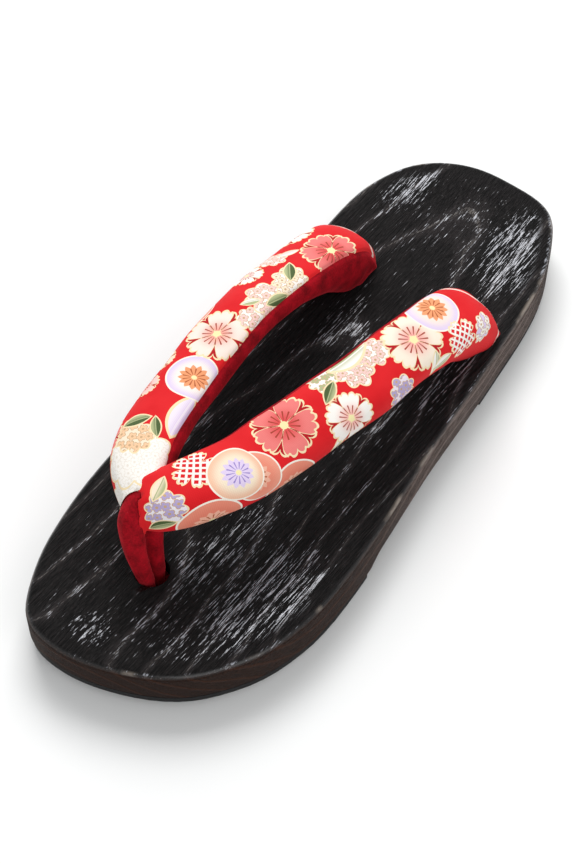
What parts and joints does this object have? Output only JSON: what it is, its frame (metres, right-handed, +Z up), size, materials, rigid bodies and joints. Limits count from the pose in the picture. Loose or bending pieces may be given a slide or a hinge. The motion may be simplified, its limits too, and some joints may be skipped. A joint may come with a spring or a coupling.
{
  "type": "geta sandal",
  "caption": "Women's geta sandal for the left foot: shaped black wooden sole with a waist cut and rubber sheets, and a padded V strap in red floral cloth held by a velvet thong.",
  "frame": {"origin": "on the floor, under the centre of the sole's outline", "axes": "+Z up out of the floor, +Y from the toe towards the heel, +X towards the outer side of the left foot"},
  "size_m": [0.092, 0.24, 0.0553],
  "materials": {
    "burnt_wood": "burnt black with a thin lacquer, brushed grain",
    "black_rubber": "matt moulded sheet",
    "printed_cloth": "printed cotton cloth over padding",
    "red_velvet": "short dense pile",
    "cotton_cord": "twisted cotton"
  },
  "bodies": {
    "root": {"wooden_sole": "burnt_wood", "fore_outsole": "black_rubber", "heel_outsole": "black_rubber", "strap": "printed_cloth", "front_thong": "red_velvet", "inner_rear_cord": "cotton_cord", "outer_rear_cord": "cotton_cord"}
  },
  "joints": []
}
